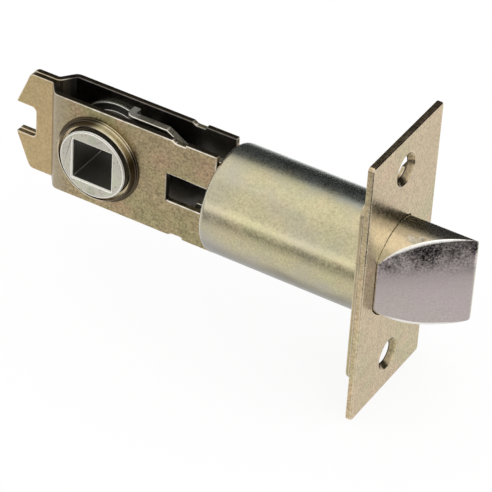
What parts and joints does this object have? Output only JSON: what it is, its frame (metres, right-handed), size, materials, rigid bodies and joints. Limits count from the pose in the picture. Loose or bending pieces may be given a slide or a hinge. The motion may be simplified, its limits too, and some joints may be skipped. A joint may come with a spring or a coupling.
{
  "type": "tubular door latch",
  "caption": "Tubular mortice door latch: bevelled spring bolt in a round barrel behind a flat faceplate, with folded case plates and a square-bored follower that draws the bolt back.",
  "frame": {"origin": "middle of the faceplate's rear face, on the bolt's axis, in the plane of its two screw holes' rear rims", "axes": "+X along the bolt out of the door's edge, +Z along the faceplate's long side, +Y away from the near case plate, so the bevel faces -Y"},
  "size_m": [0.0935, 0.025, 0.0556],
  "materials": {
    "faceplate_finish": "yellow-passivated zinc plate, semi-gloss",
    "backing_finish": "yellow-passivated zinc plate, satin",
    "barrel_finish": "pale yellow-passivated zinc plate, semi-gloss",
    "case_finish": "yellow-passivated zinc plate, satin with a faint rainbow film",
    "bush_finish": "yellow-passivated zinc plate, satin",
    "follower_zinc": "cast zinc, dull",
    "slide_steel": "zinc plate, satin",
    "bolt_plate": "smooth plated cast zinc, semi-gloss",
    "pin_steel": "bright steel",
    "seat_steel": "bright steel",
    "spring_wire": "drawn spring wire"
  },
  "bodies": {
    "case": {"faceplate": "faceplate_finish", "backing_plate": "backing_finish", "barrel": "barrel_finish", "near_case_plate": "case_finish", "far_case_plate": "case_finish", "near_follower_bush": "bush_finish", "far_follower_bush": "bush_finish", "spring_seat": "seat_steel", "bolt_spring": "spring_wire"},
    "bolt": {"latch_bolt": "bolt_plate", "bolt_pin": "pin_steel", "retractor_slide": "slide_steel"},
    "follower": {"follower": "follower_zinc"}
  },
  "joints": [
    {"name": "bolt_slide", "type": "slide", "parent": "case", "child": "bolt", "axis": [-1, 0, 0], "range_m": [0, 0.013], "stiffness_N_per_m": 600, "springref_m": -0.01, "deforming": ["bolt_spring"]},
    {"name": "follower_turn", "type": "hinge", "parent": "case", "child": "follower", "pos_m": [-0.0588, 0, 0], "axis": [0, -1, 0], "range_deg": [0, 80]}
  ],
  "couplings": [
    {"joint": "follower_turn", "follows": "bolt_slide", "rad_per_m": 107.4}
  ]
}
